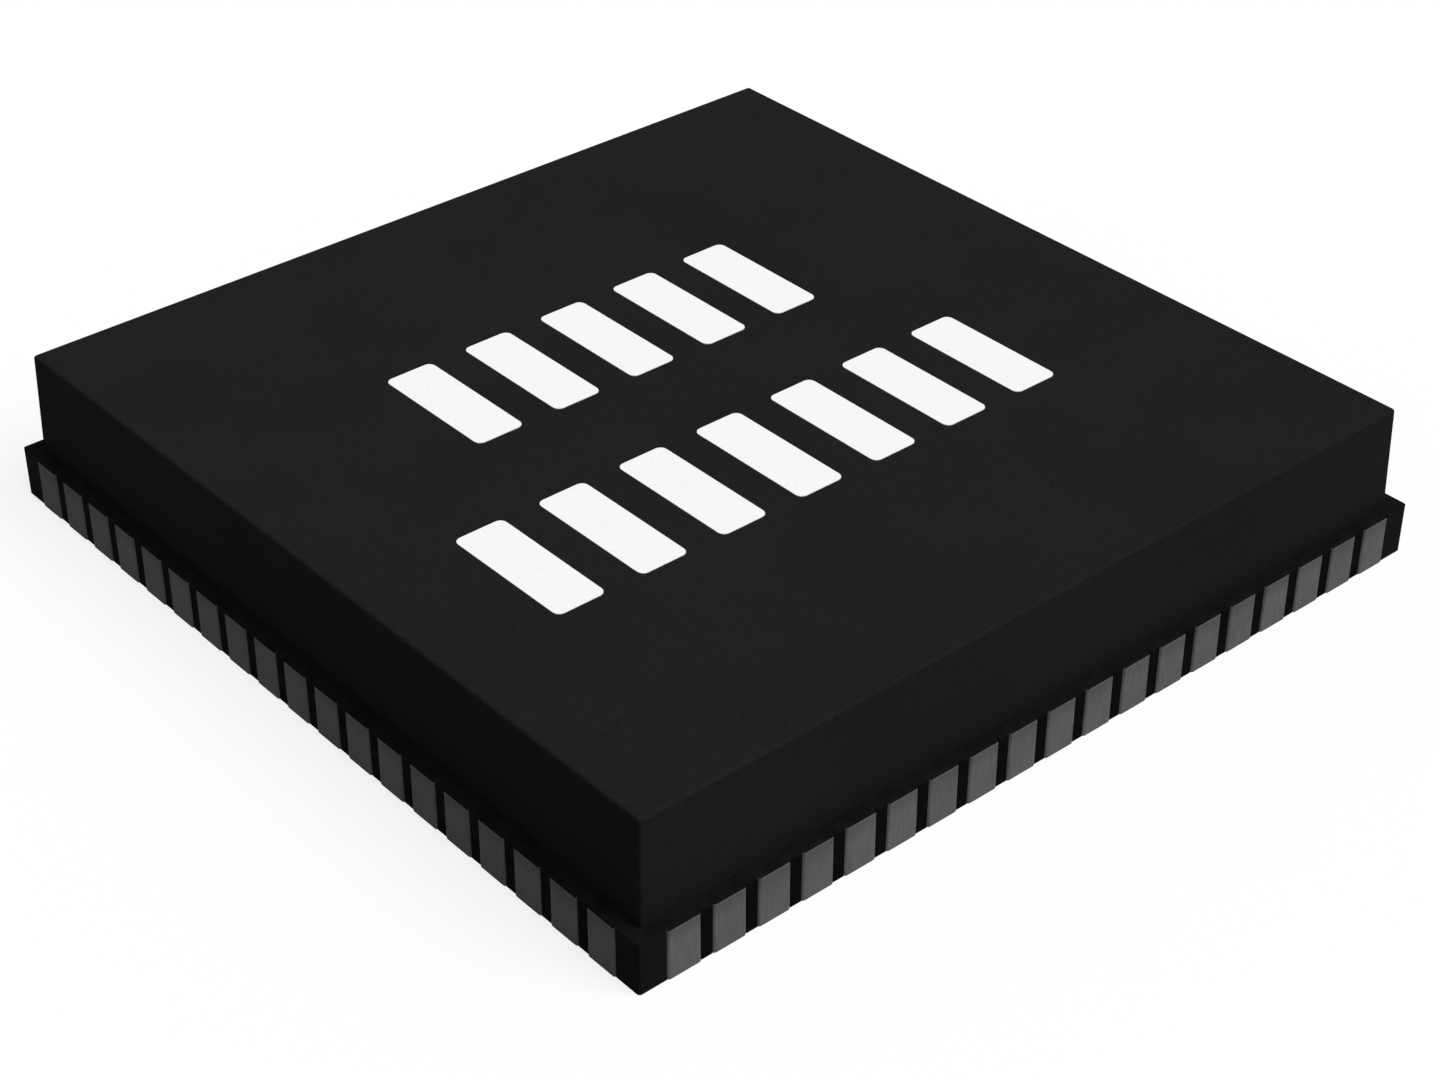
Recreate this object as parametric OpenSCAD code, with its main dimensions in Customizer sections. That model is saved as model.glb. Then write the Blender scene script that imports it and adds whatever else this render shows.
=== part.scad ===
// Quad flat chip package without pins: a moulded body cast round a copper lead frame,
// with a silicon die glued to the frame's pad and wired to its leads.
// The body is a drafted cap on a flange as thick as the frame, which fills the gaps between the leads.
// The solder face lies on z = 0, centred on the origin, with the top face up.
// The front side faces -Y and the right side +X. Lead one is at the back left corner.

/* [Leads] */
// Number of leads along each side
leads_per_side = 19; // [16:1:24]
// Distance between the centres of neighbouring leads
lead_pitch = 0.4; // [0.36:0.01:0.65]
// Width of a lead
lead_w = 0.3; // [0.18:0.01:0.32]
// Thickness of the lead frame, which is the height of a lead's end
frame_t = 0.44; // [0.3:0.01:0.5]
// Length of the soldered foot, from the lead's end inwards
foot_l = 0.4; // [0.3:0.01:0.5]
// Length of the thinned tail that locks a lead into the body
tail_l = 0.2; // [0.1:0.01:0.3]
// Depth etched away under the tails, the pad's rim and the tie bars
etch_depth = 0.2; // [0.1:0.01:0.25]
// Distance from the line of one side's lead ends to the nearest lead of the next side
corner_margin = 0.25; // [0.22:0.01:0.6]
// Gap between the two mitred leads that meet at a corner
mitre_gap = 0.1; // [0.08:0.01:0.16]

/* [Pad] */
// Gap between the lead tails and the pad
pad_gap = 0.4; // [0.2:0.01:0.6]
// Width of the etched rim round the pad's open face
pad_rim = 0.2; // [0.1:0.01:0.3]
// Chamfer that marks the corner of lead one on the pad's open face
pad_chamfer = 0.35; // [0.2:0.01:0.6]
// Width of a tie bar
tie_w = 0.15; // [0.1:0.01:0.2]
// Distance from a tie bar's end to the line of the lead tails
tie_clearance = 0.15; // [0.1:0.01:0.3]

/* [Die] */
// Width of the square silicon die
die_w = 3.4; // [2.4:0.05:3.6]
// Thickness of the die
die_t = 0.25; // [0.15:0.01:0.3]
// Thickness of the glue under the die
glue_t = 0.03; // [0.02:0.005:0.05]
// Width of the glue's border round the die
glue_border = 0.1; // [0.05:0.01:0.15]

/* [Bond wires] */
// Thickness of a bond wire
wire_d = 0.025; // [0.02:0.001:0.04]
// Diameter of the ball at the die
ball_d = 0.07; // [0.05:0.005:0.09]
// Height of the ball
ball_h = 0.02; // [0.01:0.005:0.03]
// Distance from the die's edge to the ball centres
ball_inset = 0.1; // [0.06:0.01:0.15]
// Distance from the die's corner to the first ball along the edge
ball_margin = 0.25; // [0.2:0.01:0.4]
// Height that a wire's loop adds above a straight line from ball to lead
loop_h = 0.16; // [0.1:0.01:0.2]
// Distance from a lead's inner end to its stitch
stitch_inset = 0.08; // [0.06:0.01:0.1]

/* [Body] */
// Height of the moulded body
body_h = 1.33; // [1.1:0.01:1.6]
// Distance from the leads' ends to the flange's edge
flange_inset = 0.01; // [0:0.005:0.05]
// Distance from the leads' ends to the foot of the cap's walls
cap_inset = 0.13; // [0.1:0.005:0.2]
// Draft angle of the cap's walls
draft_angle = 1.5; // [1:0.5:10]

/* [Hidden] */

// Turn about the vertical that takes the front side to each side
front = 0;
right = 90;
back = 180;
left = 270;

// Straight stretches in each wire's loop
wire_steps = 5;

// Distances from the middle of the part to the lead ends, the flange, the cap's foot and its top
lead_end = ((leads_per_side - 1) * lead_pitch + lead_w) / 2 + corner_margin;
flange_half = lead_end - flange_inset;
cap_half = lead_end - cap_inset;
top_half = cap_half - (body_h - frame_t) * tan(draft_angle);

lead_l = foot_l + tail_l;
mitre_offset = mitre_gap / sqrt(2);

pad_w = 2 * (lead_end - lead_l - pad_gap);
pad_open_w = pad_w - 2 * pad_rim;
tie_l = (lead_end - lead_l - tie_clearance) * sqrt(2);

die_z = frame_t + glue_t;
wire_z = die_z + die_t + ball_h;
ball_y = ball_inset - die_w / 2;
ball_pitch = (die_w - 2 * ball_margin) / (leads_per_side - 1);

copper = "#b87333";
tin = "#5a5a5a";

// Places along a side, counted from its left end seen from outside
function lead_x(i) = (i - (leads_per_side - 1) / 2) * lead_pitch;
function ball_x(i) = (i - (leads_per_side - 1) / 2) * ball_pitch;

// Inward length of a lead at its middle, which the mitre shortens at the corners
function lead_reach(i) = min(lead_l, lead_end - abs(lead_x(i)) - mitre_offset);
function stitch_y(i) = lead_reach(i) - stitch_inset - lead_end;

// Loop of a wire in its own upright plane: steep from the ball, then a long fall to the stitch
function loop_path(span, fall) = [
    for (i = [0 : wire_steps])
        let (q = i / wire_steps)
        [span * q * q, loop_h * sin(180 * q) - fall * q * q]
];

// Direction square to a path at one of its inner points
function path_normal(path, i) =
    let (along = path[i + 1] - path[i - 1])
    [-along[1], along[0]] / norm(along);

// One edge of a path thickened to the wire, with both ends cut level
function path_edge(path, side) =
    let (half = side * wire_d / 2)
    [
        for (i = [0 : wire_steps])
            path[i] + half * (i == 0 ? [-1, 0] : i == wire_steps ? [1, 0] : path_normal(path, i))
    ];

function reversed(list) = [for (i = [len(list) - 1 : -1 : 0]) list[i]];

// Side view of the body: the cap on its flange
module body_profile() {
    polygon([
        [-flange_half, 0],
        [flange_half, 0],
        [flange_half, frame_t],
        [cap_half, frame_t],
        [top_half, body_h],
        [-top_half, body_h],
        [-cap_half, frame_t],
        [-flange_half, frame_t],
    ]);
}

// Body block with the same profile on all four sides
module body_block() {
    intersection() {
        rotate([90, 0, 0]) linear_extrude(2 * flange_half, center = true) body_profile();
        rotate([90, 0, 90]) linear_extrude(2 * flange_half, center = true) body_profile();
    }
}

// Ground that the front side's leads may use, up to the mitres at its two corners
module front_sector() {
    polygon([
        [0, -mitre_offset],
        [mitre_offset - lead_end, -lead_end],
        [lead_end - mitre_offset, -lead_end],
    ]);
}

// Plan of one front lead with a round inner end
module lead_plan(x, length) {
    intersection() {
        translate([x, -lead_end]) {
            translate([-lead_w / 2, 0]) square([lead_w, length - lead_w / 2]);
            translate([0, length - lead_w / 2]) circle(d = lead_w, $fn = 32);
        }
        front_sector();
    }
}

// One front lead: a short foot with a longer tail over it
module lead(x) {
    linear_extrude(etch_depth) lead_plan(x, foot_l);
    translate([0, 0, etch_depth]) linear_extrude(frame_t - etch_depth) lead_plan(x, lead_l);
}

module lead_row(side) {
    color(tin)
    rotate([0, 0, side])
    for (i = [0 : leads_per_side - 1]) {
        lead(lead_x(i));
    }
}

module front_leads() {
    lead_row(front);
}

module right_leads() {
    lead_row(right);
}

module back_leads() {
    lead_row(back);
}

module left_leads() {
    lead_row(left);
}

// Open face of the pad, with the corner of lead one cut off
module pad_open_face() {
    half = pad_open_w / 2;
    polygon([
        [-half, -half],
        [half, -half],
        [half, half],
        [pad_chamfer - half, half],
        [-half, half - pad_chamfer],
    ]);
}

// Full outline of the pad, with a tie bar towards each corner
module pad_outline() {
    square(pad_w, center = true);
    for (a = [45 : 90 : 315]) {
        rotate(a) translate([0, -tie_w / 2]) square([tie_l, tie_w]);
    }
}

module die_pad() {
    color(copper) {
        linear_extrude(etch_depth) pad_open_face();
        translate([0, 0, etch_depth]) linear_extrude(frame_t - etch_depth) pad_outline();
    }
}

module die_attach() {
    color("#c8c4b8")
    translate([0, 0, frame_t])
    linear_extrude(glue_t) square(die_w + 2 * glue_border, center = true);
}

module silicon_die() {
    color("#6c7480")
    translate([0, 0, die_z])
    linear_extrude(die_t) square(die_w, center = true);
}

// One wire from its ball on the die to its stitch on a front lead
module bond_wire(i) {
    across = lead_x(i) - ball_x(i);
    out = stitch_y(i) - ball_y;
    path = loop_path(norm([across, out]), wire_z - frame_t);
    translate([ball_x(i), ball_y, wire_z]) {
        rotate([90, 0, atan2(out, across)])
        linear_extrude(wire_d, center = true)
        polygon(concat(path_edge(path, 1), reversed(path_edge(path, -1))));
        translate([0, 0, -ball_h]) cylinder(d = ball_d, h = ball_h, $fn = 24);
    }
}

module wire_row(side) {
    color("gold")
    rotate([0, 0, side])
    for (i = [0 : leads_per_side - 1]) {
        bond_wire(i);
    }
}

module front_bond_wires() {
    wire_row(front);
}

module right_bond_wires() {
    wire_row(right);
}

module back_bond_wires() {
    wire_row(back);
}

module left_bond_wires() {
    wire_row(left);
}

// Body cast round everything that it holds
module mould_body() {
    color("#212121")
    difference() {
        body_block();
        for (side = [front, right, back, left]) {
            lead_row(side);
            wire_row(side);
        }
        die_pad();
        die_attach();
        silicon_die();
    }
}

mould_body();
front_leads();
right_leads();
back_leads();
left_leads();
die_pad();
die_attach();
silicon_die();
front_bond_wires();
right_bond_wires();
back_bond_wires();
left_bond_wires();
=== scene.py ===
"""Looks of a quad flat chip package without pins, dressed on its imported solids."""

from math import radians

import bmesh
import bpy
from bpy.props import (
    FloatProperty,
    FloatVectorProperty,
    IntProperty,
    PointerProperty,
)
from bpy.types import Operator, Panel, PropertyGroup
from mathutils import Matrix, Vector


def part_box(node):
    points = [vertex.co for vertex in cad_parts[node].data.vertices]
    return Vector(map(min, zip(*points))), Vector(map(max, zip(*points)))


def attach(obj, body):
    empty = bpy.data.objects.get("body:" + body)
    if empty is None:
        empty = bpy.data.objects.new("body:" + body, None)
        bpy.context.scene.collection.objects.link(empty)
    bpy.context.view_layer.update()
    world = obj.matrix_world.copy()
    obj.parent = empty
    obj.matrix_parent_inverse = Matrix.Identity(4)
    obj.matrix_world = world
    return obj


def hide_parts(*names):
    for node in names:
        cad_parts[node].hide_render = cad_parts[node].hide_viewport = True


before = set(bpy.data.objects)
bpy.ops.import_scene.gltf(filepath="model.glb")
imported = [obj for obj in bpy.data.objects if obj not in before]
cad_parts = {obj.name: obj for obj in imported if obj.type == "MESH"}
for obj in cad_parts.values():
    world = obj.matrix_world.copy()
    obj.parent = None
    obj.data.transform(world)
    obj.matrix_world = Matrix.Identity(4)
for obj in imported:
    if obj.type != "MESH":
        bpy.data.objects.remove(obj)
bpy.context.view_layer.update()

bl_info = {
    "name": "Flat Chip Looks",
    "version": (1, 0, 0),
    "blender": (4, 5, 0),
    "location": "View3D > Sidebar > Chip",
    "description": "Dresses a flat chip package with its finishes, print and stage",
    "category": "Object",
}

BODY = "root"

# A millimetre and a micrometre in metres
MM = 1e-3
UM = 1e-6

# Two points nearer than this are one point
TOUCH = 0.1 * UM

# Two faces that turn by less than this are one flat face
FLAT = radians(0.5)

# A face looks in a direction when its normal has at least this much of it
FACING = 0.9

# A face is on a lead's punched end when it leans this far outwards, and less than this far up
END_OUTWARD = 0.2
END_UPWARD = 0.4

# A point is on the outside of the body when it is past this share of the body's half width
OUTSIDE = 0.9

# Steps in a rounded edge, and in a rounded corner of a printed block
EDGE_STEPS = 3
BLOCK_STEPS = 5

# Range that most of a noise lies in
NOISE_LOW = 0.3
NOISE_HIGH = 0.7

# Heights over which painted shade fades: down the flange, down the leads' ends and up the cap's
# foot
FLANGE_SHADE_FADE = 30 * UM
TIN_SHADE_FADE = 180 * UM
FOOT_SHADE_FADE = 220 * UM

# Least radius or grain that can be set
FINEST = 5 * UM

# Width of the camera's sensor in millimetres
SENSOR_WIDTH = 36.0

# Outward direction of each lead row
ROWS = {
    "front_leads": Vector((0, -1, 0)),
    "right_leads": Vector((1, 0, 0)),
    "back_leads": Vector((0, 1, 0)),
    "left_leads": Vector((-1, 0, 0)),
}
WIRES = ("front_bond_wires", "right_bond_wires", "back_bond_wires", "left_bond_wires")

# Half the length of a lead row, and the height of the parting line on top of it
ROW_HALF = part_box("front_leads")[1].x
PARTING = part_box("front_leads")[1].z


# Settings

def colour_setting(name, description, default):
    """A colour that a user can change."""
    return FloatVectorProperty(
        name=name,
        description=description,
        subtype="COLOR",
        size=3,
        min=0,
        max=1,
        default=default,
    )


def length_setting(name, description, default, least):
    """A length that a user can change, down to the least one."""
    return FloatProperty(
        name=name,
        description=description,
        subtype="DISTANCE",
        unit="LENGTH",
        precision=6,
        min=least,
        default=default,
    )


def print_place_setting(name, description, default):
    """A place on the top face that a user can change."""
    return FloatVectorProperty(
        name=name,
        description=description,
        subtype="XYZ",
        unit="LENGTH",
        precision=6,
        size=2,
        default=default,
    )


class ChipMouldSettings(PropertyGroup):
    """Settings of the moulded body"""

    colour: colour_setting(
        "Compound",
        "Colour of the moulding compound",
        (0.0142, 0.0142, 0.0142),
    )
    # Painted shade: a near-black sheet, darker than the compound, in the gaps between the leads,
    # on the leads' tops and sides and on the ledge
    shade_sheet_colour: colour_setting(
        "Shade Sheet",
        "Colour of the painted shade sheet on the ledge, on the leads' tops and between them",
        (0.004, 0.004, 0.004),
    )
    edge_radius: length_setting(
        "Edge Radius",
        "Radius of the cap's top edges and of the body's corners",
        25 * UM,
        FINEST,
    )
    grain: length_setting(
        "Grain",
        "Size of the matt grain that the mould leaves",
        20 * UM,
        FINEST,
    )


class ChipLeadSettings(PropertyGroup):
    """Settings of the leads"""

    colour: colour_setting(
        "Tin",
        "Colour of the dull tin on the leads' ends",
        (0.125, 0.125, 0.125),
    )
    edge_radius: length_setting(
        "Edge Radius",
        "Radius that punching leaves round a lead's end",
        26 * UM,
        FINEST,
    )
    stroke: length_setting(
        "Punch Strokes",
        "Width of the upright strokes that the punch leaves",
        16 * UM,
        FINEST,
    )


class ChipPadSettings(PropertyGroup):
    """Settings of the pad and of the leads' lands"""

    colour: colour_setting(
        "Plating",
        "Colour of the plating on the pad's open face and the leads' lands",
        (0.56, 0.55, 0.52),
    )
    grain: length_setting(
        "Grain",
        "Size of the crystals in the plating",
        40 * UM,
        FINEST,
    )


class ChipInnerSettings(PropertyGroup):
    """Settings of what the body holds"""

    die_colour: colour_setting(
        "Silicon",
        "Colour of the die",
        (0.15, 0.17, 0.21),
    )
    glue_colour: colour_setting(
        "Glue",
        "Colour of the filled glue under the die",
        (0.55, 0.52, 0.46),
    )
    wire_colour: colour_setting(
        "Gold",
        "Colour of the bond wires",
        (0.95, 0.66, 0.26),
    )


class ChipMarkingSettings(PropertyGroup):
    """Settings of the printed blocks"""

    colour: colour_setting(
        "Ink",
        "Colour of the printed blocks",
        (0.94, 0.94, 0.94),
    )
    block_width: length_setting(
        "Block Width",
        "Width of one printed block",
        0.445 * MM,
        0.1 * MM,
    )
    block_height: length_setting(
        "Block Height",
        "Height of one printed block",
        1.235 * MM,
        0.1 * MM,
    )
    corner_radius: length_setting(
        "Corner Radius",
        "Radius of a block's corners",
        60 * UM,
        10 * UM,
    )
    thickness: length_setting(
        "Ink Thickness",
        "Height of the ink above the top face",
        6 * UM,
        2 * UM,
    )
    upper_count: IntProperty(
        name="Upper Blocks",
        description="Number of blocks in the upper row",
        min=1,
        default=5,
    )
    upper_start: print_place_setting(
        "Upper Start",
        "Middle of the upper row's left edge on the top face",
        (-1.93 * MM, 1.035 * MM),
    )
    upper_length: length_setting(
        "Upper Length",
        "Length of the upper row",
        3.52 * MM,
        0.1 * MM,
    )
    lower_count: IntProperty(
        name="Lower Blocks",
        description="Number of blocks in the lower row",
        min=1,
        default=7,
    )
    lower_start: print_place_setting(
        "Lower Start",
        "Middle of the lower row's left edge on the top face",
        (-2.86 * MM, -1.13 * MM),
    )
    lower_length: length_setting(
        "Lower Length",
        "Length of the lower row",
        5.06 * MM,
        0.1 * MM,
    )


class ChipStageSettings(PropertyGroup):
    """Settings of the floor, the light and the camera"""

    floor_colour: colour_setting(
        "Floor",
        "Colour that the floor gives back to the chip",
        (0.2, 0.2, 0.2),
    )
    floor_width: length_setting(
        "Floor Width",
        "Width of the square floor",
        800 * MM,
        50 * MM,
    )
    ambient: FloatProperty(
        name="Ambient Light",
        description="Strength of the light from all round",
        min=0,
        default=0.25,
    )
    key: FloatProperty(
        name="Key Light",
        description="Strength of the key light, where pi lights a facing surface fully",
        min=0,
        default=2.82,
    )
    key_from: FloatVectorProperty(
        name="Key From",
        description="Direction that the key light comes from",
        subtype="DIRECTION",
        size=3,
        default=(0.22, -0.53, 0.82),
    )
    key_angle: FloatProperty(
        name="Key Softness",
        description="Angle that the key light fills, seen from the chip",
        subtype="ANGLE",
        unit="ROTATION",
        min=0,
        default=radians(50),
    )
    camera_place: FloatVectorProperty(
        name="Camera Place",
        description="Place of the camera",
        subtype="TRANSLATION",
        unit="LENGTH",
        precision=6,
        size=3,
        default=(-12.6979 * MM, -14.8398 * MM, 13.1388 * MM),
    )
    camera_turn: FloatVectorProperty(
        name="Camera Turn",
        description="Rotation of the camera about X, Y and Z",
        subtype="EULER",
        unit="ROTATION",
        size=3,
        default=(radians(55.6766), radians(-0.1078), radians(-40.8424)),
    )
    lens: FloatProperty(
        name="Lens",
        description="Focal length on a sensor 36 mm wide",
        subtype="DISTANCE_CAMERA",
        unit="CAMERA",
        min=1,
        default=71.5884,
    )


# Parts of materials

def shader_of(name):
    """A new material, with its node tree and its main shader."""
    material = bpy.data.materials.new(name)
    material.use_nodes = True
    tree = material.node_tree
    return material, tree, tree.nodes["Principled BSDF"]


def made(name):
    """A material that an earlier piece has made, or None."""
    return bpy.data.materials.get(name)


def place_coordinates(tree):
    """Object coordinates, in metres on the chip."""
    return tree.nodes.new("ShaderNodeTexCoord").outputs["Object"]


def noise(tree, size, detail=3.0):
    """Noise whose features have these sizes along X, Y and Z, in metres."""
    mapping = tree.nodes.new("ShaderNodeMapping")
    mapping.inputs["Scale"].default_value = [1 / s for s in size]
    tree.links.new(place_coordinates(tree), mapping.inputs["Vector"])
    texture = tree.nodes.new("ShaderNodeTexNoise")
    texture.inputs["Scale"].default_value = 1.0
    texture.inputs["Detail"].default_value = detail
    tree.links.new(mapping.outputs["Vector"], texture.inputs["Vector"])
    return texture.outputs["Fac"]


def height_on_chip(tree):
    """Height above the solder face."""
    split = tree.nodes.new("ShaderNodeSeparateXYZ")
    tree.links.new(place_coordinates(tree), split.inputs["Vector"])
    return split.outputs["Z"]


def mapped(tree, value, low, high, to_low, to_high):
    """Value taken smoothly from one range to another."""
    node = tree.nodes.new("ShaderNodeMapRange")
    node.interpolation_type = "SMOOTHSTEP"
    node.inputs["From Min"].default_value = low
    node.inputs["From Max"].default_value = high
    node.inputs["To Min"].default_value = to_low
    node.inputs["To Max"].default_value = to_high
    tree.links.new(value, node.inputs["Value"])
    return node.outputs["Result"]


def varied(tree, texture, low, high):
    """A noise taken to this range, with its rare ends cut off."""
    return mapped(tree, texture, NOISE_LOW, NOISE_HIGH, low, high)


def times(tree, a, b):
    """Product of two varying values."""
    node = tree.nodes.new("ShaderNodeMath")
    node.operation = "MULTIPLY"
    tree.links.new(a, node.inputs[0])
    tree.links.new(b, node.inputs[1])
    return node.outputs["Value"]


def tint(tree, shader, colour, first_shade, *more_shades):
    """Gives the shader this colour, scaled by each of these varying shades."""
    brightness = first_shade
    for shade in more_shades:
        brightness = times(tree, brightness, shade)
    node = tree.nodes.new("ShaderNodeVectorMath")
    node.operation = "SCALE"
    node.inputs[0].default_value = colour
    tree.links.new(brightness, node.inputs["Scale"])
    tree.links.new(node.outputs["Vector"], shader.inputs["Base Color"])


def roughen(tree, shader, texture, low, high):
    """Lets the roughness follow a noise within this range."""
    tree.links.new(varied(tree, texture, low, high), shader.inputs["Roughness"])


def relief(tree, shader, texture, strength, depth=2 * UM):
    """Raises the surface by a noise, up to a depth in metres."""
    bump = tree.nodes.new("ShaderNodeBump")
    bump.inputs["Strength"].default_value = strength
    bump.inputs["Distance"].default_value = depth
    tree.links.new(texture, bump.inputs["Height"])
    tree.links.new(bump.outputs["Normal"], shader.inputs["Normal"])


# Materials

def compound_material(settings):
    """Black moulding compound with a fine matt grain, and painted shade that darkens the flange
    and the cap's foot.
    """
    material, tree, shader = shader_of("moulding_compound")
    grain = noise(tree, [settings.grain] * 3)
    cloud = noise(tree, [1.2 * MM] * 3, 2.0)
    height = height_on_chip(tree)
    tint(
        tree,
        shader,
        settings.colour,
        varied(tree, grain, 0.86, 1.14),
        varied(tree, cloud, 0.95, 1.05),
        # Painted shade: darker towards the parting line on the cap's foot, and darker still on
        # the flange below it
        mapped(tree, height, PARTING, PARTING + FOOT_SHADE_FADE, 0.8, 1.0),
        mapped(tree, height, PARTING - FLANGE_SHADE_FADE, PARTING, 0.82, 1.0),
    )
    roughen(tree, shader, grain, 0.66, 0.8)
    shader.inputs["Specular IOR Level"].default_value = 0.006
    relief(tree, shader, grain, 0.35)
    return material


def shade_sheet_material(settings):
    """Thin uneven sheet of painted shade, darker than the compound, lighter at the parting line
    than in the gaps.
    """
    material, tree, shader = shader_of("painted_shade_sheet")
    grain = noise(tree, [20 * UM] * 3)
    smear = noise(tree, [120 * UM] * 3, 2.0)
    tint(
        tree,
        shader,
        settings.shade_sheet_colour,
        varied(tree, grain, 0.85, 1.15),
        varied(tree, smear, 0.8, 1.2),
        # Painted shade: the sheet is lighter on the ledge at the parting line than down in the
        # gaps
        mapped(tree, height_on_chip(tree), PARTING - FLANGE_SHADE_FADE, PARTING, 1.0, 1.79),
    )
    roughen(tree, shader, smear, 0.6, 0.78)
    shader.inputs["Specular IOR Level"].default_value = 0.005
    relief(tree, shader, grain, 0.3)
    return material


def tin_material(settings):
    """Dull tin on a punched lead end, with upright strokes, and painted shade that darkens it
    towards the parting line.
    """
    material, tree, shader = shader_of("lead_tin")
    width = settings.stroke
    strokes = noise(tree, [width, width, 12 * width])
    drift = noise(tree, [500 * UM] * 3, 1.0)
    tint(
        tree,
        shader,
        settings.colour,
        varied(tree, strokes, 0.88, 1.12),
        varied(tree, drift, 0.94, 1.06),
        # Painted shade: the tin darkens towards the parting line at the top of each lead
        mapped(tree, height_on_chip(tree), PARTING - TIN_SHADE_FADE, PARTING, 1.05, 0.8),
    )
    roughen(tree, shader, strokes, 0.5, 0.68)
    shader.inputs["Specular IOR Level"].default_value = 0.02
    relief(tree, shader, strokes, 0.3)
    return material


def plating_material(settings):
    """Satin tin plating with fine crystals and a faint rolling direction."""
    material, tree, shader = shader_of("pad_plating")
    grain = noise(tree, [settings.grain] * 3)
    rolled = noise(tree, [900 * UM, 30 * UM, 30 * UM], 2.0)
    tint(
        tree,
        shader,
        settings.colour,
        varied(tree, grain, 0.9, 1.1),
        varied(tree, rolled, 0.93, 1.07),
    )
    roughen(tree, shader, grain, 0.34, 0.5)
    shader.inputs["Metallic"].default_value = 1.0
    relief(tree, shader, grain, 0.3)
    return material


def silicon_material(settings):
    """Polished silicon with a faint drift of colour."""
    material, tree, shader = shader_of("silicon")
    drift = noise(tree, [800 * UM] * 3, 2.0)
    tint(tree, shader, settings.die_colour, varied(tree, drift, 0.85, 1.15))
    roughen(tree, shader, drift, 0.16, 0.26)
    shader.inputs["Metallic"].default_value = 0.6
    return material


def glue_material(settings):
    """Filled glue with coarse grains."""
    material, tree, shader = shader_of("die_glue")
    grain = noise(tree, [30 * UM] * 3)
    tint(tree, shader, settings.glue_colour, varied(tree, grain, 0.75, 1.2))
    roughen(tree, shader, grain, 0.5, 0.75)
    relief(tree, shader, grain, 0.4, depth=4 * UM)
    return material


def gold_material(settings):
    """Drawn gold wire."""
    material, tree, shader = shader_of("bond_gold")
    drawn = noise(tree, [20 * UM] * 3, 2.0)
    tint(tree, shader, settings.wire_colour, varied(tree, drawn, 0.92, 1.06))
    roughen(tree, shader, drawn, 0.2, 0.34)
    shader.inputs["Metallic"].default_value = 1.0
    return material


def ink_material(settings):
    """White ink that follows the compound's grain and thins out at a few specks."""
    material, tree, shader = shader_of("marking_ink")
    grain = noise(tree, [20 * UM] * 3)
    specks = noise(tree, [50 * UM] * 3, 2.0)
    tint(
        tree,
        shader,
        settings.colour,
        varied(tree, grain, 0.97, 1.02),
        mapped(tree, specks, 0.22, 0.3, 0.86, 1.0),
    )
    roughen(tree, shader, grain, 0.55, 0.7)
    shader.inputs["Specular IOR Level"].default_value = 0.3
    relief(tree, shader, grain, 0.25)
    return material


# Meshes

def merged_copy(node):
    """A node's shape with its loose triangles joined into flat faces."""
    shape = bmesh.new()
    shape.from_mesh(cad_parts[node].data)
    bmesh.ops.remove_doubles(shape, verts=shape.verts, dist=TOUCH)
    bmesh.ops.dissolve_limit(shape, angle_limit=FLAT, verts=shape.verts, edges=shape.edges)
    return shape


def soften(shape, edges, radius):
    """Rounds these edges."""
    if not edges:
        raise RuntimeError("there is no edge to round")
    bmesh.ops.bevel(
        shape,
        geom=edges,
        offset=radius,
        offset_type="OFFSET",
        affect="EDGES",
        segments=EDGE_STEPS,
        profile=0.5,
        material=-1,
        clamp_overlap=True,
    )


def finished_piece(name, shape, materials):
    """A piece of the chip with this shape, in the chip's own frame."""
    mesh = bpy.data.meshes.new(name)
    shape.to_mesh(mesh)
    shape.free()
    for material in materials:
        mesh.materials.append(material)
    piece = bpy.data.objects.new(name, mesh)
    bpy.context.scene.collection.objects.link(piece)
    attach(piece, BODY)
    return piece


def finish_node(node, material):
    """Gives a solid that keeps its shape a better material."""
    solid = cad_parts[node]
    if not solid.material_slots:
        solid.data.materials.append(material)
    for slot in solid.material_slots:
        slot.material = material


# Operators

class CHIP_OT_moulded_body(Operator):
    """Make the moulded body, with soft edges, a matt grain and a sheet of painted shade"""

    bl_idname = "chip.moulded_body"
    bl_label = "Moulded Body"
    bl_options = {"REGISTER", "UNDO"}

    def execute(self, context):
        settings = context.scene.chip_mould
        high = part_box("mould_body")[1]
        compound = compound_material(settings)
        shade_sheet = made("painted_shade_sheet") or shade_sheet_material(settings)
        finishes = [compound, shade_sheet]
        shape = merged_copy("mould_body")
        soften(shape, self.outer_edges(shape, high), settings.edge_radius)
        for face in shape.faces:
            # Faces between the leads' ends and on the ledge take the painted shade sheet
            finish = shade_sheet if self.takes_shade_sheet(face, high) else compound
            face.material_index = finishes.index(finish)
        piece = finished_piece("moulded_body", shape, finishes)
        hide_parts("mould_body")
        return {"FINISHED"}

    def outer_edges(self, shape, high):
        """Edges round the top face, and those that stand at the corners."""
        def at_top(vert):
            return vert.co.z > high.z - TOUCH

        def at_corner(vert):
            across, along = abs(vert.co.x), abs(vert.co.y)
            return abs(across - along) < TOUCH and across > OUTSIDE * high.x

        return [
            e for e in shape.edges
            if all(at_top(v) for v in e.verts) or all(at_corner(v) for v in e.verts)
        ]

    def takes_shade_sheet(self, face, high):
        """True between the leads' ends and on the ledge over them, where the sheet of painted
        shade goes.
        """
        middle = face.calc_center_median()
        along, out = sorted((abs(middle.x), abs(middle.y)))
        web = out > high.x - TOUCH and along < ROW_HALF
        ledge = face.normal.z > FACING and abs(middle.z - PARTING) < TOUCH
        return web or ledge


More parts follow.
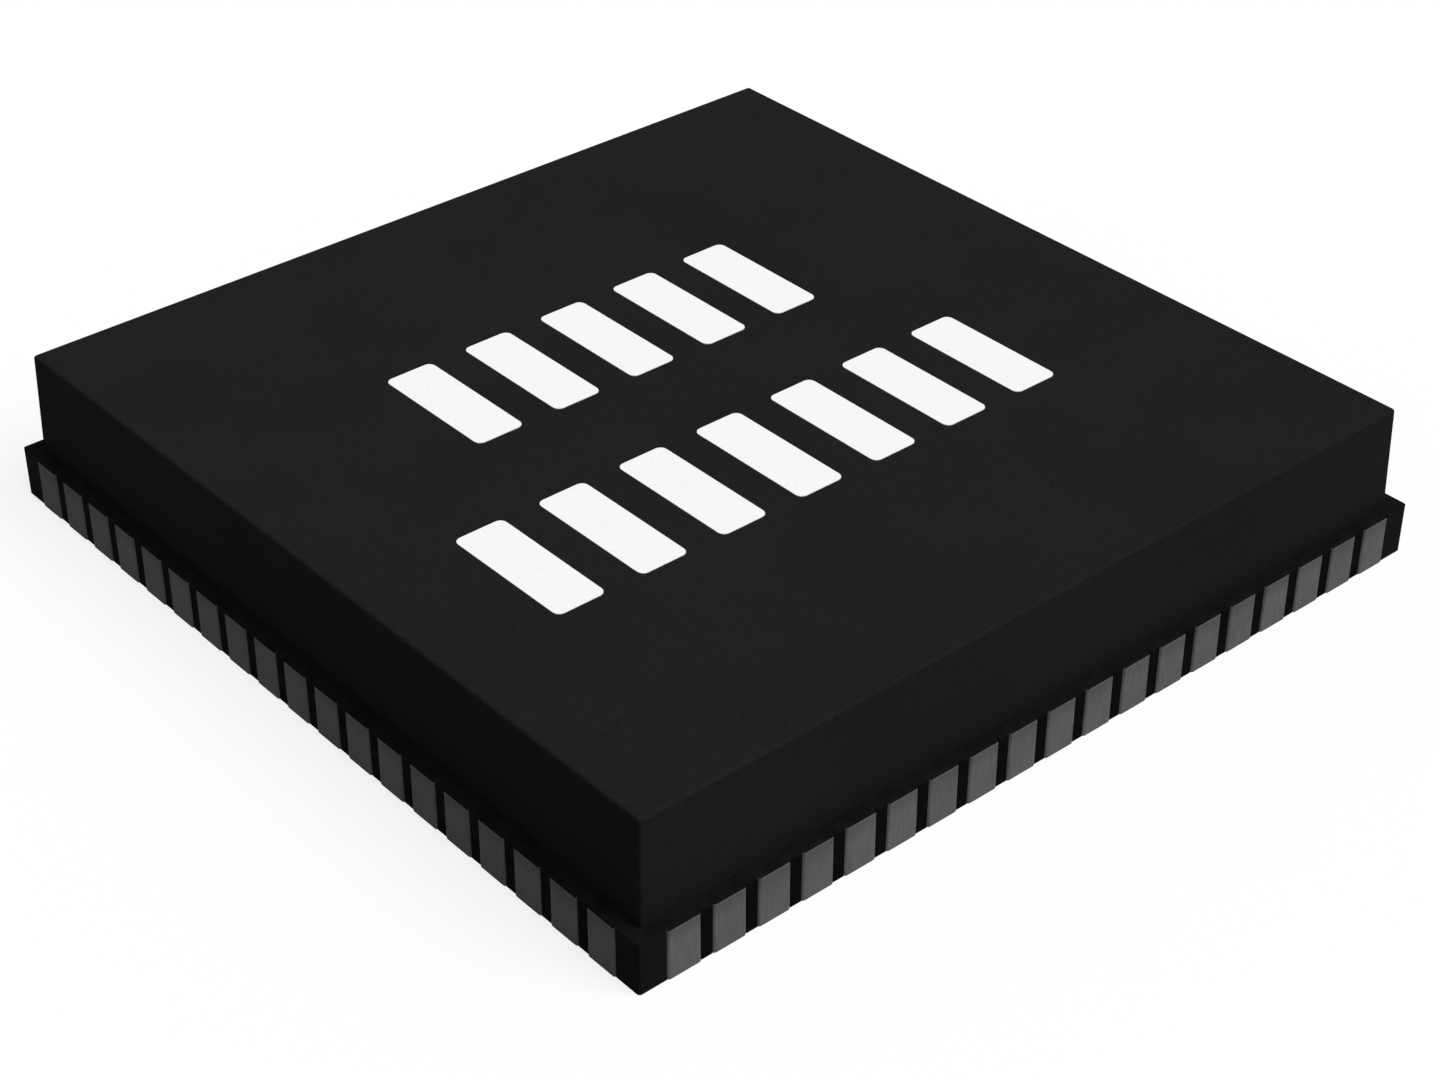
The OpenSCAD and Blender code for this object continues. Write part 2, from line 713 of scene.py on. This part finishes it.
class CHIP_OT_lead_rows(Operator):
    """Make the four rows of leads, with punched ends, plated lands and a sheet of painted shade
    """

    bl_idname = "chip.lead_rows"
    bl_label = "Lead Rows"
    bl_options = {"REGISTER", "UNDO"}

    def execute(self, context):
        settings = context.scene.chip_leads
        tin = tin_material(settings)
        shade_sheet = made("painted_shade_sheet") or shade_sheet_material(context.scene.chip_mould)
        plating = made("pad_plating") or plating_material(context.scene.chip_pad)
        finishes = [shade_sheet, tin, plating]
        for node, outward in ROWS.items():
            shape = merged_copy(node)
            soften(shape, self.end_edges(shape, outward), settings.edge_radius)
            for face in shape.faces:
                punched = face.normal.dot(outward) > END_OUTWARD and face.normal.z < END_UPWARD
                land = face.normal.z < -FACING and face.calc_center_median().z < TOUCH
                # Every other lead face, on the tops and sides, takes the painted shade sheet
                finish = plating if land else tin if punched else shade_sheet
                face.material_index = finishes.index(finish)
            piece = finished_piece(node.replace("leads", "lead_row"), shape, finishes)
            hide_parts(node)
        return {"FINISHED"}

    def end_edges(self, shape, outward):
        """Edges round the leads' outer ends, apart from those on the solder face."""
        end = max(v.co.dot(outward) for v in shape.verts)
        return [
            e for e in shape.edges
            if all(v.co.dot(outward) > end - TOUCH for v in e.verts)
            and any(v.co.z > TOUCH for v in e.verts)
        ]


class CHIP_OT_pad_plating(Operator):
    """Plate the pad under the die"""

    bl_idname = "chip.pad_plating"
    bl_label = "Pad Plating"
    bl_options = {"REGISTER", "UNDO"}

    def execute(self, context):
        finish_node("die_pad", made("pad_plating") or plating_material(context.scene.chip_pad))
        return {"FINISHED"}


class CHIP_OT_inner_finishes(Operator):
    """Finish the die, its glue and the bond wires inside the body"""

    bl_idname = "chip.inner_finishes"
    bl_label = "Inner Finishes"
    bl_options = {"REGISTER", "UNDO"}

    def execute(self, context):
        settings = context.scene.chip_inner
        finish_node("silicon_die", silicon_material(settings))
        finish_node("die_attach", glue_material(settings))
        gold = gold_material(settings)
        for node in WIRES:
            finish_node(node, gold)
        return {"FINISHED"}


class CHIP_OT_marking(Operator):
    """Print two rows of plain blocks on the top face"""

    bl_idname = "chip.marking"
    bl_label = "Marking"
    bl_options = {"REGISTER", "UNDO"}

    def execute(self, context):
        settings = context.scene.chip_marking
        shape = bmesh.new()
        self.lay_row(
            shape, settings, settings.upper_start, settings.upper_length, settings.upper_count
        )
        self.lay_row(
            shape, settings, settings.lower_start, settings.lower_length, settings.lower_count
        )
        bmesh.ops.bevel(
            shape,
            geom=shape.verts[:],
            offset=settings.corner_radius,
            offset_type="OFFSET",
            affect="VERTICES",
            segments=BLOCK_STEPS,
            profile=0.5,
            material=-1,
        )
        raised = bmesh.ops.extrude_face_region(shape, geom=shape.faces[:])
        bmesh.ops.translate(
            shape,
            verts=[g for g in raised["geom"] if isinstance(g, bmesh.types.BMVert)],
            vec=(0, 0, settings.thickness),
        )
        bmesh.ops.recalc_face_normals(shape, faces=shape.faces)
        finished_piece("marking_rows", shape, [ink_material(settings)])
        return {"FINISHED"}

    def lay_row(self, shape, settings, start, length, count):
        """Adds a row of flat blocks on the top face, spread evenly over its length."""
        width, height = settings.block_width, settings.block_height
        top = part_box("mould_body")[1].z
        step = (length - width) / max(count - 1, 1)
        for i in range(count):
            place = Matrix.LocRotScale(
                Vector((start[0] + width / 2 + i * step, start[1], top)),
                None,
                Vector((width / 2, height / 2, 1)),
            )
            bmesh.ops.create_grid(shape, x_segments=1, y_segments=1, size=1, matrix=place)


class CHIP_OT_stage(Operator):
    """Set up the floor, the light and the camera"""

    bl_idname = "chip.stage"
    bl_label = "Stage"
    bl_options = {"REGISTER", "UNDO"}

    def execute(self, context):
        scene = context.scene
        settings = scene.chip_stage
        scene.view_settings.view_transform = "Standard"
        self.make_floor(scene, settings)
        self.make_light(scene, settings)
        self.make_camera(scene, settings)
        return {"FINISHED"}

    def seen_rays(self, tree):
        """One for rays that show the backdrop: from the camera, off gloss or through glass."""
        path = tree.nodes.new("ShaderNodeLightPath")
        total = path.outputs["Is Camera Ray"]
        for name in ("Is Glossy Ray", "Is Transmission Ray"):
            node = tree.nodes.new("ShaderNodeMath")
            node.operation = "MAXIMUM"
            tree.links.new(total, node.inputs[0])
            tree.links.new(path.outputs[name], node.inputs[1])
            total = node.outputs["Value"]
        return total

    def open_from_below(self, tree, shader):
        """Lets the floor be seen through from its underside."""
        side = tree.nodes.new("ShaderNodeNewGeometry")
        clear = tree.nodes.new("ShaderNodeBsdfTransparent")
        mix = tree.nodes.new("ShaderNodeMixShader")
        tree.links.new(side.outputs["Backfacing"], mix.inputs["Fac"])
        tree.links.new(shader.outputs["BSDF"], mix.inputs[1])
        tree.links.new(clear.outputs["BSDF"], mix.inputs[2])
        tree.links.new(mix.outputs["Shader"], tree.nodes["Material Output"].inputs["Surface"])

    def floor_material(self, settings):
        """Matt floor that takes a shadow, with a glow that makes it white where it is seen."""
        material, tree, shader = shader_of("floor")
        shader.inputs["Base Color"].default_value = (*settings.floor_colour, 1)
        shader.inputs["Roughness"].default_value = 1.0
        shader.inputs["Specular IOR Level"].default_value = 0.0
        shader.inputs["Emission Color"].default_value = (1, 1, 1, 1)
        glow = tree.nodes.new("ShaderNodeMath")
        glow.operation = "MULTIPLY"
        glow.inputs[1].default_value = 1 - settings.floor_colour.g
        tree.links.new(self.seen_rays(tree), glow.inputs[0])
        tree.links.new(glow.outputs["Value"], shader.inputs["Emission Strength"])
        self.open_from_below(tree, shader)
        return material

    def make_floor(self, scene, settings):
        shape = bmesh.new()
        bmesh.ops.create_grid(shape, x_segments=4, y_segments=4, size=settings.floor_width / 2)
        mesh = bpy.data.meshes.new("floor")
        shape.to_mesh(mesh)
        shape.free()
        mesh.materials.append(self.floor_material(settings))
        floor = bpy.data.objects.new("floor", mesh)
        scene.collection.objects.link(floor)

    def make_light(self, scene, settings):
        lamp = bpy.data.lights.new("key_light", "SUN")
        lamp.energy = settings.key
        lamp.angle = settings.key_angle
        key = bpy.data.objects.new("key_light", lamp)
        key.rotation_euler = Vector(settings.key_from).to_track_quat("Z", "Y").to_euler()
        scene.collection.objects.link(key)
        world = bpy.data.worlds.new("studio")
        world.use_nodes = True
        tree = world.node_tree
        background = tree.nodes["Background"]
        background.inputs["Color"].default_value = (1, 1, 1, 1)
        strength = tree.nodes.new("ShaderNodeMapRange")
        strength.inputs["To Min"].default_value = settings.ambient
        strength.inputs["To Max"].default_value = 1.0
        tree.links.new(self.seen_rays(tree), strength.inputs["Value"])
        tree.links.new(strength.outputs["Result"], background.inputs["Strength"])
        scene.world = world

    def make_camera(self, scene, settings):
        data = bpy.data.cameras.new("camera")
        data.lens = settings.lens
        data.sensor_width = SENSOR_WIDTH
        data.clip_start = 1 * MM
        data.clip_end = 10000 * MM
        camera = bpy.data.objects.new("camera", data)
        camera.location = settings.camera_place
        camera.rotation_euler = settings.camera_turn
        scene.collection.objects.link(camera)
        scene.camera = camera


class CHIP_PT_looks(Panel):
    """Lists the chip's pieces and their settings"""

    bl_idname = "CHIP_PT_looks"
    bl_label = "Flat Chip"
    bl_space_type = "VIEW_3D"
    bl_region_type = "UI"
    bl_category = "Chip"

    def draw(self, context):
        for operator, group in PIECES:
            box = self.layout.box()
            box.operator(operator.bl_idname)
            settings = getattr(context.scene, group)
            for name in settings.__annotations__:
                box.prop(settings, name)


# Each operator with the settings that it reads, in the order of making
PIECES = (
    (CHIP_OT_stage, "chip_stage"),
    (CHIP_OT_moulded_body, "chip_mould"),
    (CHIP_OT_lead_rows, "chip_leads"),
    (CHIP_OT_pad_plating, "chip_pad"),
    (CHIP_OT_inner_finishes, "chip_inner"),
    (CHIP_OT_marking, "chip_marking"),
)
SETTINGS = {
    "chip_stage": ChipStageSettings,
    "chip_mould": ChipMouldSettings,
    "chip_leads": ChipLeadSettings,
    "chip_pad": ChipPadSettings,
    "chip_inner": ChipInnerSettings,
    "chip_marking": ChipMarkingSettings,
}


def register():
    for name, group in SETTINGS.items():
        bpy.utils.register_class(group)
        setattr(bpy.types.Scene, name, PointerProperty(type=group))
    for operator, _ in PIECES:
        bpy.utils.register_class(operator)
    bpy.utils.register_class(CHIP_PT_looks)


def unregister():
    bpy.utils.unregister_class(CHIP_PT_looks)
    for operator, _ in reversed(PIECES):
        bpy.utils.unregister_class(operator)
    for name, group in reversed(SETTINGS.items()):
        delattr(bpy.types.Scene, name)
        bpy.utils.unregister_class(group)


def main():
    register()
    bpy.ops.chip.stage()
    bpy.ops.chip.moulded_body()
    bpy.ops.chip.lead_rows()
    bpy.ops.chip.pad_plating()
    bpy.ops.chip.inner_finishes()
    bpy.ops.chip.marking()


if __name__ == "__main__":
    main()
